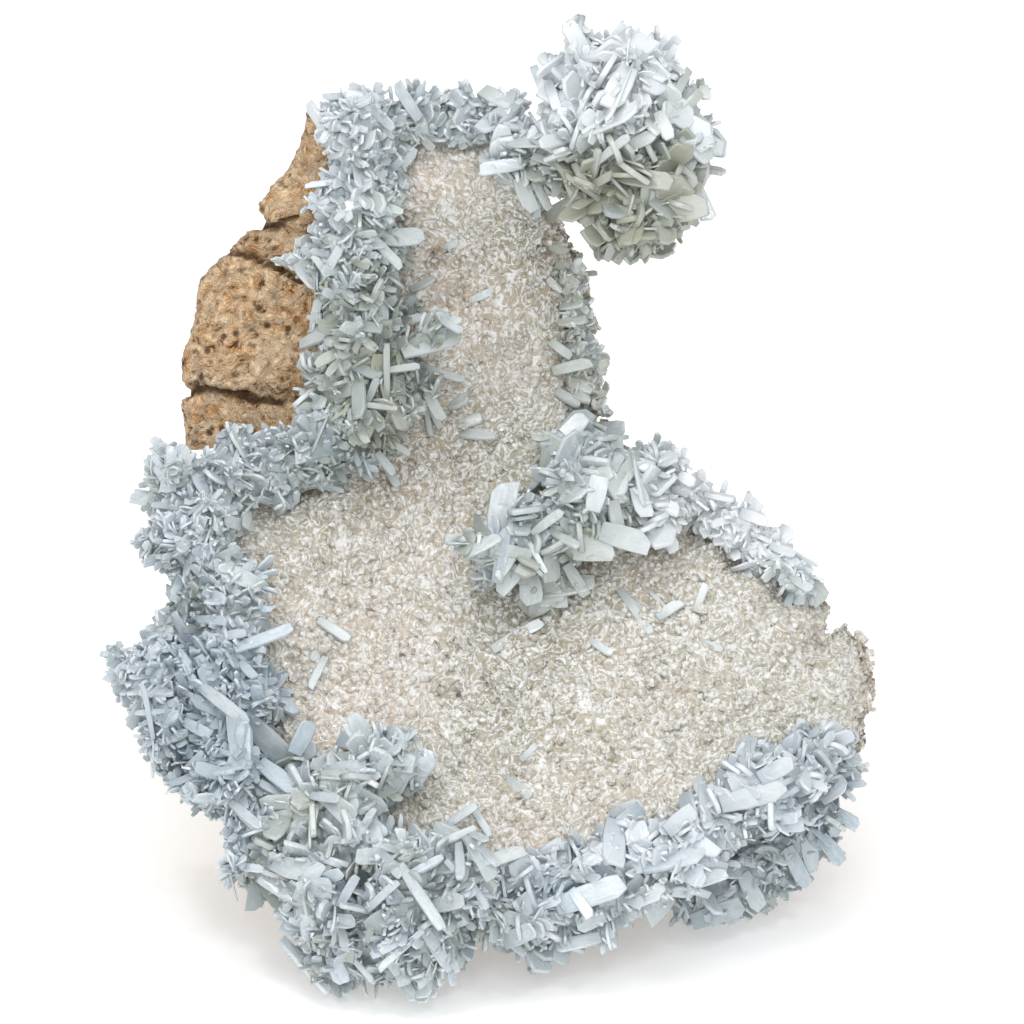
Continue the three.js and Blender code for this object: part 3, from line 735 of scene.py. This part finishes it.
def leaning(places, normals, low, high, random):
    """One direction for each normal, leaning from it by an angle between low and high, in degrees.
    Neighbours lean much the same way."""
    flow = np.stack([noise_at(places, 11, k) for k in (2, 31, 57)], axis=1) * 2.2
    flow += 0.45 * random.normal(size=flow.shape)
    level = unit(flow - (flow * normals).sum(axis=1, keepdims=True) * normals)
    lean = np.radians(low + (high - low) * random.random((len(normals), 1)))
    return normals * np.cos(lean) + level * np.sin(lean)


def frames_facing(along, facing, twist):
    """Axes of blades that run along their directions with a flat side towards `facing`, then twisted."""
    flat = unit(facing - (facing * along).sum(axis=1, keepdims=True) * along)
    return twisted(along, np.cross(flat, along), flat, twist)


# Each area: its node, middle (u, v), share of blades that lie rather than stand, large and small blades
# on 100 mm2, breadth of the large blades, how long they are, tone from blue to olive, and frost, to which
# the looks add painted highlight where the blades face up.
AREAS = {
    "wall": ("barite_rim", (-28, 125), 0.35, 17, 38, (1.3, 3.8), 1.0, 0.5, 0.0),
    "ledge": ("barite_rim", (-56, 75), 0.35, 18, 42, (1.2, 3.5), 0.9, 0.3, 0.05),
    "lobe": ("barite_rim", (-58, 32), 0.4, 20, 44, (1.1, 3.0), 1.0, 0.05, 0.0),
    "low_rosette": ("barite_rim", (-29, 19), 0.25, 17, 30, (2.0, 6.0), 1.1, 0.45, 0.05),
    "toe": ("barite_rim", (-24, -3), 0.35, 18, 38, (1.4, 4.2), 1.05, 0.25, 0.1),
    "lip": ("barite_rim", (30, 12), 0.45, 17, 30, (1.9, 5.6), 1.0, 0.1, 0.2),
    "knob": ("barite_knob", (26, 151), 0.3, 17, 26, (2.0, 6.4), 1.15, 0.45, 0.1),
    "crest": ("barite_knob", (-2, 155), 0.4, 18, 38, (1.8, 4.5), 0.85, 0.3, 0.2),
    "rosette": ("barite_rosette", (14, 76), 0.25, 17, 26, (2.2, 7.0), 1.05, 0.5, 0.05),
    "ridge_highlight": ("barite_rosette", (50, 72), 0.35, 18, 42, (1.6, 4.6), 0.75, 0.25, 0.35),
    "underside": ("barite_underside", (55, 12), 0.45, 17, 36, (1.4, 4.4), 0.95, 0.2, 0.0),
    "fringe": ("barite_neck_fringe", (15, 114), 0.1, 34, 40, (1.4, 3.0), 0.6, 0.95, 0.15),
}
# Zones of the barite, each as (u, v, radius, olive, dark, white): an olive tint, in places a painted tint of
# shade; dark, painted shade, or painted light below 0; and white, frost and painted highlight on tops in the
# light
ZONES = [
    (28, 140, 9, 0.5, 1.0, -0.2), (14, 139, 7, 0.4, 0.8, -0.1), (22, 166, 13, -0.1, -0.9, 0.65),
    (8, 148, 6, 0.1, 0, 0.1), (-22, 98, 9, 0.2, 0.5, 0), (-28, 112, 14, 0.1, 0.5, 0),
    (-36, 152, 12, -0.1, 0, 0.15), (-56, 36, 12, 0, 0.35, 0), (-40, 28, 6, 0.1, 0.3, 0),
    (-56, 62, 8, 0, 0.1, 0), (16, 62, 7, 0.3, 0.5, 0), (44, 78, 11, 0, -0.9, 1.0),
    (-6, 0, 9, 0.1, 0.2, 0), (-30, 6, 9, 0, 0.1, 0), (40, 18, 20, 0, -0.3, 0.2),
    (58, 8, 9, 0, 0.5, 0), (-44, 100, 5, 0, -0.2, 0.35), (-42, 114, 6, -0.1, -0.2, 0.4),
    (-40, 130, 6, -0.1, -0.2, 0.35), (-35, 146, 8, -0.2, -0.2, 0.3), (-33, 160, 8, -0.1, -0.1, 0.2),
    (-76, 40, 6, 0, -0.2, 0.4), (-72, 22, 7, 0, -0.2, 0.4), (-60, 8, 8, 0, -0.2, 0.35),
    (-70, 106, 8, 0, -0.1, 0.2), (-44, -12, 7, 0, -0.2, 0.35), (-56, 84, 8, 0, -0.1, 0.1),
]


def zones_at(points):
    """How olive, how dark and how white the barite is painted at each point, beyond its area's own look: dark
    is painted shade and white is frost and painted highlight.
    """
    total = np.zeros((3, len(points)))
    for u, v, radius, *shares in ZONES:
        total += np.array(shares)[:, None] * spot_at(points, u, v, radius)
    return total


def swell_at(points):
    """From -1 to 1: where the mounds swell out and lie in the light, and where they sink and darken."""
    return noise_at(points, 8, 4)


# The cores, one for each barite node: lumpy, faceted, and drawn in under the blades
CORE_VOXEL = 1.25
cores = {}
for node_name in dict.fromkeys(area[0] for area in AREAS.values()):
    points, faces = net_of(node_name, CORE_VOXEL, smooth=9)
    relief = 0.6 - 1.6 * swell_at(points) - facets_at(points, size=3.0, steep=1.3)
    points = kept_in_box((points - point_normals(points, faces) * relief[:, None])[:, None])[:, 0]
    faces = open_faces(points, faces, crust_tree, reach=1.5, depth=0.8)
    olive, painted_shade, white = zones_at(points)
    shade = np.zeros((len(points), 4))
    shade[:, 1] = np.clip(0.35 + olive, 0, 1)
    # blue: painted light and shade, darker in the dark zones and where the mound sinks; alpha: frost and
    # painted highlight
    shade[:, 2] = np.clip(0.65 - painted_shade + 0.8 * swell_at(points), 0.1, 1)
    shade[:, 3] = np.clip(white, 0, 1)
    cores[node_name] = (points, faces)
    name = node_name.removeprefix("barite_") + "_core"
    add_piece(name, points, faces, barite, node_name, shade, inner=points, smooth=False)


def ahead_share(normals):
    """From 1 where a surface faces the front to 0 where it has turned away."""
    return np.clip((normals[:, 2] - 0.05) / 0.6, 0, 1)


def spread_facing(points, faces, count, thinned, random):
    """Places spread over a net, thinned out where it turns away: each with its normal, and how far it
    faces the front."""
    places, normals = scattered(points, faces, count, random)
    near = ahead_share(normals)
    kept = random.random(count) > thinned * (1 - near)
    return places[kept], normals[kept], near[kept]


# Blades in a spray, and the first of the seeds
SPRAY = 4
AREA_SEED, PLACED_SEED = 100, 300
for seed, (label, entry) in enumerate(AREAS.items()):
    node_name, middle, lying, large, small, breadths, reach, tone, frost_and_highlight = entry
    random = np.random.default_rng(AREA_SEED + seed)
    points, faces = cores[node_name]
    rivals = [area[1] for area in AREAS.values() if area[0] == node_name]
    gaps = np.linalg.norm(points[faces].mean(axis=1)[:, None, :2] - np.array(rivals)[None], axis=2)
    faces = faces[gaps.argmin(axis=1) == rivals.index(middle)]
    hundreds_of_mm2 = face_normals(points, faces)[1].sum() / 100

    def drawn(low, high, count, power=1.0):
        return low + (high - low) * random.random(count) ** power

    def thick(breadth):
        return np.clip(breadth * drawn(0.16, 0.34, len(breadth)), 0.4, 1.3)

    def looks(places, normals, near, spread):
        """Tone, frost and light of blades, with light and shade painted by the way they face and by the
        zones:
        olive, clear and darker where they turn down, whiter and lighter where up.
        """
        up = normals[:, 1]
        olive, painted_shade, white = zones_at(places)
        painted_shade = painted_shade - 0.8 * swell_at(places)
        return (
            np.clip(tone - 0.3 * up + olive + spread, 0, 1),
            frost_and_highlight * (1 + up) + 0.15 * random.random(len(up)) ** 2 + white
            + 0.35 * (1 - near) * np.clip(0.5 + up, 0, 1),
            np.clip(0.8 + 0.5 * up - painted_shade, 0.05, 1),
        )

    # sprays of four blades that open out of one place like the pages of a book
    sprays = int(hundreds_of_mm2 * large * (1 - lying) / SPRAY)
    places, normals, near = spread_facing(points, faces, sprays, thinned=0.55, random=random)
    sprays = len(places)
    owner = np.repeat(np.arange(sprays), SPRAY)
    count = len(owner)
    near = near[owner]
    page = frames_along(leaning(places, normals, 5, 50, random), random.random(sprays) * pi)[owner]
    swell = swell_at(places)[owner]
    breadth = drawn(*breadths, count, 1.4) * (0.4 + 0.6 * near)
    turn = ((np.arange(count) % SPRAY - 1.5) * 0.42 + 0.14 * random.normal(size=count))[:, None]
    stray = 0.12 * random.normal(size=(count, 3))
    along = unit(page[:, 0] * np.cos(turn) + page[:, 2] * np.sin(turn) + stray)
    fan = (
        places[owner] - 2.4 * normals[owner] + 0.5 * random.normal(size=(count, 3)),
        frames_facing(along, page[:, 2] * np.cos(turn) - page[:, 0] * np.sin(turn), np.zeros(count)),
        (drawn(4.2, 7.8, count) * reach * (0.45 + 0.55 * near) * (1 + 0.5 * swell),
         breadth, thick(breadth)),
        *looks(places[owner], normals[owner], near, 0.12 * random.normal(size=sprays)[owner]),
    )
    # laths that lie across the others, most with a flat side outwards
    laths = int(hundreds_of_mm2 * large * lying)
    places, normals, near = spread_facing(points, faces, laths, thinned=0.55, random=random)
    count = len(near)
    along = leaning(places, normals, 58, 88, random)
    length = drawn(4.5, 12, count, 1.5) * reach * (0.35 + 0.65 * near)
    lift = drawn(-0.3, 1.4, count) * (0.4 + 0.6 * near)
    breadth = drawn(*breadths, count, 1.4) * (0.4 + 0.6 * near)
    lay = (
        places - along * length[:, None] * 0.48 + normals * lift[:, None],
        frames_facing(along, normals, 0.6 * random.normal(size=count)),
        (length, breadth, thick(breadth)),
        *looks(places, normals, near, 0.1 * random.normal(size=count)),
    )
    both = [
        tuple(np.concatenate(pair) for pair in zip(one, other)) if isinstance(one, tuple)
        else np.concatenate([one, other])
        for one, other in zip(fan, lay)
    ]
    add_blades(label + "_blades", node_name, LARGE, *both, random)
    # small blades that fill the gaps, and crowd into a frosty crust where the cluster turns away
    fillers = int(hundreds_of_mm2 * small)
    places, normals, near = spread_facing(points, faces, fillers, thinned=0.6, random=random)
    count = len(near)
    add_blades(
        label + "_small_blades", node_name, SMALL,
        places - normals * drawn(0.2, 1.0, count)[:, None],
        frames_along(leaning(places, normals, 10, 68, random), random.random(count) * pi),
        (drawn(1.8, 4.8, count) * (0.3 + 0.7 * reach) * (0.6 + 0.4 * near), drawn(0.9, 2.2, count),
         drawn(0.35, 0.7, count)),
        *looks(places, normals, near, 0.1 * random.normal(size=count)), random,
    )

# The blades that stand out, seen from the front in fifths of a millimetre from the upper left corner
# of the picture frame, where the middle of the foot is at FOOT: root x, y, tip x, y, and breadth. Last
# comes how far each stands off the blades round it, in millimetres.
FOOT = (500, 900)
PLACED = {
    ("wall", "barite_rim"): [
        (366, 232, 402, 268, 10, 3), (378, 240, 424, 236, 20, 2), (326, 276, 342, 248, 10, 3),
        (370, 318, 384, 292, 8, 3), (330, 308, 372, 300, 22, 2), (334, 342, 362, 322, 10, 3),
        (334, 378, 350, 362, 10, 3), (387, 396, 387, 344, 7, 4), (352, 366, 382, 377, 13, 2),
        (386, 371, 420, 366, 8, 4), (420, 366, 464, 380, 8, 3), (358, 372, 360, 418, 15, 2),
        (398, 376, 400, 424, 16, 1), (368, 402, 378, 378, 8, 3), (364, 405, 398, 408, 7, 4),
        (384, 430, 394, 408, 8, 3), (308, 405, 342, 410, 10, 3), (334, 416, 362, 444, 10, 4),
        (326, 398, 356, 386, 16, 2), (402, 352, 458, 335, 20, 4), (398, 324, 424, 316, 10, 2),
        (300, 345, 330, 332, 14, 2), (304, 372, 330, 384, 13, 2), (312, 330, 320, 296, 10, 2),
        (296, 262, 318, 288, 15, 1), (340, 212, 366, 200, 12, 2), (336, 180, 364, 192, 12, 2),
        (330, 150, 350, 130, 13, 1), (352, 110, 372, 100, 14, 1), (376, 452, 394, 474, 9, 2),
    ],
    ("fringe", "barite_neck_fringe"): [
        (549, 244, 567, 251, 9, 1), (556, 265, 575, 265, 9, 1), (558, 281, 579, 283, 9, 1),
        (565, 295, 583, 294, 8, 1), (560, 306, 583, 302, 9, 2), (558, 322, 587, 318, 9, 2),
        (565, 334, 585, 330, 13, 1), (565, 348, 585, 345, 14, 1), (553, 370, 592, 361, 12, 2),
        (569, 380, 594, 389, 13, 1), (574, 393, 591, 400, 12, 1), (572, 407, 589, 414, 10, 1),
        (548, 276, 560, 290, 8, 2), (550, 340, 572, 356, 10, 2), (556, 390, 580, 404, 10, 2),
    ],
    ("druse", "calcite_druse"): [
        (410, 290, 434, 277, 9, 1), (426, 392, 442, 420, 12, 1), (424, 406, 430, 436, 6, 1),
        (448, 407, 468, 396, 12, 1), (458, 424, 482, 417, 12, 1), (388, 440, 410, 454, 7, 1),
        (460, 433, 496, 435, 13, 1), (428, 405, 440, 428, 7, 1), (318, 620, 350, 640, 11, 1),
        (332, 636, 312, 660, 8, 1), (326, 656, 310, 688, 9, 1), (492, 650, 542, 622, 12, 1),
        (620, 590, 652, 634, 10, 1), (657, 618, 682, 601, 11, 1), (650, 592, 667, 609, 5, 1),
        (695, 612, 706, 584, 8, 1), (505, 776, 530, 796, 12, 0), (590, 640, 612, 655, 8, 0),
        (470, 300, 492, 290, 8, 0), (440, 320, 462, 332, 8, 0), (520, 760, 536, 744, 7, 0),
        (382, 462, 398, 486, 9, 1), (700, 640, 722, 650, 7, 0), (440, 250, 458, 240, 8, 0),
    ],
    ("lobe", "barite_rim"): [
        (236, 648, 294, 627, 13, 5), (200, 641, 248, 631, 10, 4), (200, 619, 228, 620, 10, 3),
        (198, 681, 252, 722, 14, 5), (235, 710, 244, 766, 17, 4), (250, 718, 292, 762, 25, 5),
        (280, 690, 295, 714, 14, 3), (296, 752, 312, 720, 18, 3), (176, 646, 194, 670, 12, 3),
        (200, 655, 211, 674, 13, 3), (242, 661, 257, 677, 10, 3), (174, 689, 193, 668, 10, 3),
        (138, 690, 176, 692, 9, 3), (206, 745, 236, 752, 6, 4), (206, 757, 238, 764, 6, 4),
        (189, 766, 206, 750, 7, 3), (204, 772, 238, 766, 9, 3), (226, 786, 252, 768, 9, 3),
        (234, 799, 264, 823, 10, 4), (160, 712, 182, 700, 12, 2), (150, 660, 168, 640, 13, 2),
        (186, 720, 214, 734, 12, 2), (168, 740, 190, 730, 10, 2), (262, 780, 284, 792, 9, 3),
        (205, 590, 228, 600, 12, 2), (190, 560, 216, 548, 12, 2), (170, 590, 186, 612, 12, 2),
        (262, 760, 302, 790, 18, 1), (268, 792, 306, 768, 14, 1), (286, 752, 300, 802, 12, 2),
        (186, 596, 178, 640, 14, 1), (192, 642, 174, 612, 10, 0), (184, 572, 174, 600, 10, 0),
    ],
    ("toe", "barite_rim"): [
        (334, 787, 377, 809, 14, 4), (330, 799, 354, 822, 11, 4), (314, 792, 342, 794, 10, 3),
        (371, 804, 384, 854, 13, 5), (299, 823, 314, 780, 22, 2), (354, 842, 376, 804, 8, 4),
        (326, 772, 368, 768, 26, 2), (384, 800, 404, 762, 27, 2), (402, 790, 430, 750, 26, 1),
        (234, 799, 263, 826, 10, 3), (301, 827, 327, 862, 16, 3), (276, 858, 319, 870, 22, 2),
        (314, 902, 333, 860, 7, 3), (341, 901, 359, 870, 10, 3), (370, 903, 400, 874, 9, 3),
        (401, 858, 444, 922, 12, 6), (384, 846, 402, 870, 10, 4), (374, 908, 412, 968, 30, 3),
        (422, 918, 452, 964, 13, 4), (408, 871, 444, 851, 9, 4), (434, 831, 477, 802, 9, 5),
        (439, 839, 477, 824, 9, 4), (460, 838, 462, 872, 10, 4), (472, 804, 491, 833, 8, 3),
        (453, 886, 499, 864, 6, 5), (471, 876, 488, 902, 7, 4), (495, 860, 492, 922, 10, 5),
        (475, 861, 524, 844, 15, 4), (504, 886, 526, 859, 8, 4), (434, 901, 464, 892, 17, 3),
        (284, 934, 332, 986, 12, 4), (285, 919, 332, 941, 17, 2), (333, 948, 346, 977, 18, 3),
        (354, 951, 377, 977, 7, 3), (404, 970, 416, 993, 12, 3), (419, 977, 437, 989, 8, 3),
        (340, 738, 376, 745, 20, 2), (290, 760, 318, 748, 18, 2), (256, 838, 280, 826, 12, 2),
    ],
    ("lip", "barite_rim"): [
        (555, 902, 622, 878, 24, 3), (640, 862, 704, 846, 26, 3), (718, 802, 784, 786, 22, 3),
        (600, 932, 556, 942, 14, 2), (520, 890, 548, 930, 20, 3), (580, 860, 612, 842, 18, 2),
        (664, 828, 692, 806, 18, 2), (756, 776, 790, 760, 18, 2), (792, 790, 822, 770, 20, 2),
        (540, 850, 562, 838, 12, 2), (628, 900, 662, 884, 16, 2), (690, 880, 724, 868, 14, 2),
        (740, 840, 776, 820, 18, 2), (610, 812, 640, 800, 12, 2), (820, 800, 846, 780, 16, 2),
        (505, 930, 530, 950, 14, 3), (570, 884, 590, 912, 12, 4),
    ],
    ("knob", "barite_knob"): [
        (592, 110, 648, 106, 34, 4), (566, 142, 634, 116, 22, 6), (618, 40, 650, 58, 28, 3),
        (588, 56, 566, 20, 18, 3), (582, 62, 626, 60, 18, 3), (644, 66, 663, 87, 18, 3),
        (658, 98, 689, 130, 26, 3), (656, 117, 668, 145, 14, 4), (690, 120, 707, 141, 18, 2),
        (680, 140, 707, 165, 18, 3), (534, 140, 584, 160, 20, 4), (524, 166, 480, 172, 14, 4),
        (518, 180, 533, 214, 16, 4), (534, 183, 549, 212, 9, 5), (546, 217, 573, 201, 16, 2),
        (568, 182, 592, 232, 17, 5), (573, 169, 587, 194, 8, 5), (597, 167, 626, 143, 9, 6),
        (587, 193, 612, 179, 9, 4), (592, 186, 597, 155, 8, 4), (607, 178, 670, 188, 20, 6),
        (605, 209, 631, 218, 9, 4), (600, 213, 604, 230, 9, 3), (627, 195, 631, 215, 9, 3),
        (649, 205, 675, 223, 15, 3), (689, 185, 707, 223, 17, 3), (606, 262, 616, 238, 9, 2),
        (615, 240, 633, 266, 15, 2), (533, 71, 547, 105, 9, 3), (547, 85, 557, 115, 11, 3),
        (482, 92, 519, 110, 20, 2), (450, 100, 476, 112, 16, 1), (652, 226, 668, 244, 12, 2),
        (600, 84, 626, 74, 14, 3), (628, 152, 652, 140, 14, 4), (676, 172, 694, 190, 14, 3),
    ],
    ("rosette", "barite_rosette"): [
        (532, 555, 446, 538, 14, 6), (498, 540, 506, 482, 28, 3), (528, 494, 562, 458, 34, 3),
        (558, 455, 624, 450, 26, 4), (564, 436, 586, 416, 20, 2), (594, 431, 625, 427, 18, 3),
        (532, 533, 561, 511, 10, 7), (549, 531, 578, 546, 9, 7), (529, 542, 546, 573, 6, 7),
        (536, 522, 508, 531, 14, 5), (550, 548, 552, 582, 30, 4), (520, 566, 498, 592, 18, 3),
        (530, 574, 532, 604, 24, 2), (556, 576, 560, 608, 18, 2), (566, 564, 586, 596, 13, 3),
        (514, 556, 497, 578, 11, 4), (572, 548, 612, 546, 30, 4), (600, 530, 650, 545, 24, 3),
        (612, 500, 622, 548, 16, 4), (636, 486, 646, 517, 18, 3), (642, 514, 662, 542, 15, 3),
        (650, 500, 679, 511, 15, 3), (656, 534, 677, 552, 10, 2), (636, 462, 657, 471, 14, 2),
        (658, 464, 677, 456, 14, 2), (678, 474, 694, 484, 12, 2), (560, 500, 590, 486, 24, 4),
        (592, 512, 600, 476, 20, 4), (704, 494, 736, 500, 12, 2), (740, 512, 768, 522, 12, 2),
        (770, 545, 796, 556, 11, 2), (790, 575, 812, 590, 10, 2),
    ],
    ("underside", "barite_underside"): [
        (700, 880, 716, 912, 16, 3), (742, 872, 760, 908, 18, 3), (786, 846, 806, 886, 16, 3),
        (820, 836, 842, 862, 16, 3), (836, 812, 858, 826, 14, 2), (724, 900, 736, 922, 10, 2),
        (764, 852, 790, 862, 14, 2), (684, 898, 692, 918, 10, 2),
    ],
}
# Tone and frost of the placed blades, before the zones add their painted shade, highlight and tint
PLACED_LOOKS = {
    "wall": (0.45, 0.05), "fringe": (0.9, 0.15), "druse": (0.5, 0.3), "lobe": (0.05, 0.05),
    "toe": (0.25, 0.1), "lip": (0.1, 0.2), "knob": (0.35, 0.25), "rosette": (0.4, 0.1),
    "underside": (0.2, 0.0),
}
front_points = np.concatenate([bed_points] + [points for points, _ in cores.values()])
every_face, first = [bed_faces], len(bed_points)
for points, faces in cores.values():
    every_face.append(faces + first)
    first += len(points)
front_tree = BVHTree.FromPolygons(front_points.tolist(), np.concatenate(every_face).tolist())


IN_FRONT_OF_ALL = 200
NEARBY = 3


def front_height(u, v):
    """How far out the surface lies at a place seen from the front, or beside it where there is none."""
    hit = front_tree.ray_cast(Vector((u, v, IN_FRONT_OF_ALL)), Vector((0, 0, -1)))[0]
    if hit is not None:
        return hit.z
    gaps = np.hypot(front_points[:, 0] - u, front_points[:, 1] - v)
    return float(front_points[gaps < gaps.min() + NEARBY, 2].mean())


for seed, ((label, node_name), entries) in enumerate(PLACED.items()):
    random = np.random.default_rng(PLACED_SEED + seed)
    table = np.array(entries, float)
    count = len(table)
    ends = []
    for x, y in ((0, 1), (2, 3)):
        u, v = (table[:, x] - FOOT[0]) * MM_PER_PIXEL, (FOOT[1] - table[:, y]) * MM_PER_PIXEL
        ends.append(np.stack([u, v, [front_height(*place) for place in zip(u, v)]], axis=1))
    roots, tips = ends
    steep = np.linalg.norm(tips[:, :2] - roots[:, :2], axis=1) * 0.45
    tips[:, 2] = np.clip(tips[:, 2], roots[:, 2] - steep, roots[:, 2] + steep)
    roots[:, 2] += 0.5 * table[:, 5]
    tips[:, 2] += 0.5 + table[:, 5]
    run = tips - roots
    # the zones paint shade, highlight and olive tint on the placed plates, as on the other blades
    olive, painted_shade, white = zones_at((roots + tips) / 2)
    facing = np.tile([[0.0, 0.35, 1.0]], (count, 1)) + 0.25 * random.normal(size=(count, 3))
    add_blades(
        label + "_plates", node_name, LARGE, roots,
        frames_facing(unit(run), facing, 0.15 * random.normal(size=count)),
        (np.linalg.norm(run, axis=1), table[:, 4] * MM_PER_PIXEL, 0.8 + 0.6 * random.random(count)),
        np.clip(PLACED_LOOKS[label][0] + olive + 0.12 * random.normal(size=count), 0, 1),
        PLACED_LOOKS[label][1] + white + 0.15 * random.random(count), np.clip(1 - painted_shade, 0.1, 1), random,
    )
